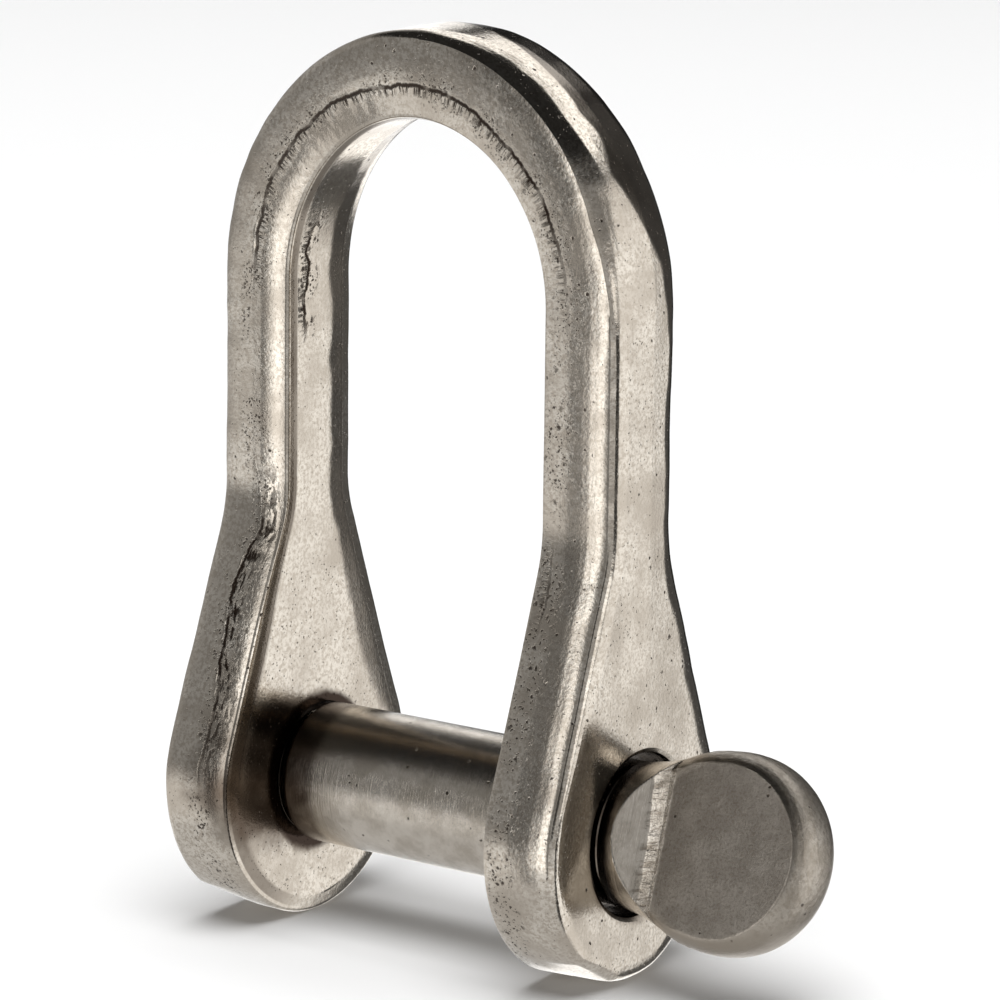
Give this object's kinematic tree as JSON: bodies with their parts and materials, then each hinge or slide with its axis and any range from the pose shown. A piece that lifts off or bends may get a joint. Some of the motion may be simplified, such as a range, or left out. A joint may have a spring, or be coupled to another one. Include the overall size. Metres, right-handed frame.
{
  "type": "dee shackle",
  "caption": "Stamped D shackle bent from flat strip, with straight parallel legs, round ears and a screw pin with a coined flat head.",
  "frame": {"origin": "on the pin's axis, midway between the ears' inner faces", "axes": "+X along the pin towards its head, +Z from the pin up to the crown, +Y across the strip's depth"},
  "size_m": [0.0245, 0.0104, 0.0321],
  "materials": {
    "body_steel": "tumbled stainless steel, semi-gloss, finely pitted",
    "pin_steel": "turned and tumbled stainless steel, satin"
  },
  "bodies": {
    "shackle_body": {"shackle_body": "body_steel"},
    "screw_pin": {"screw_pin": "pin_steel"}
  },
  "joints": [
    {"name": "pin_slide", "type": "slide", "parent": "shackle_body", "child": "screw_pin", "axis": [1, 0, 0], "range_m": [0, 0.018]}
  ]
}
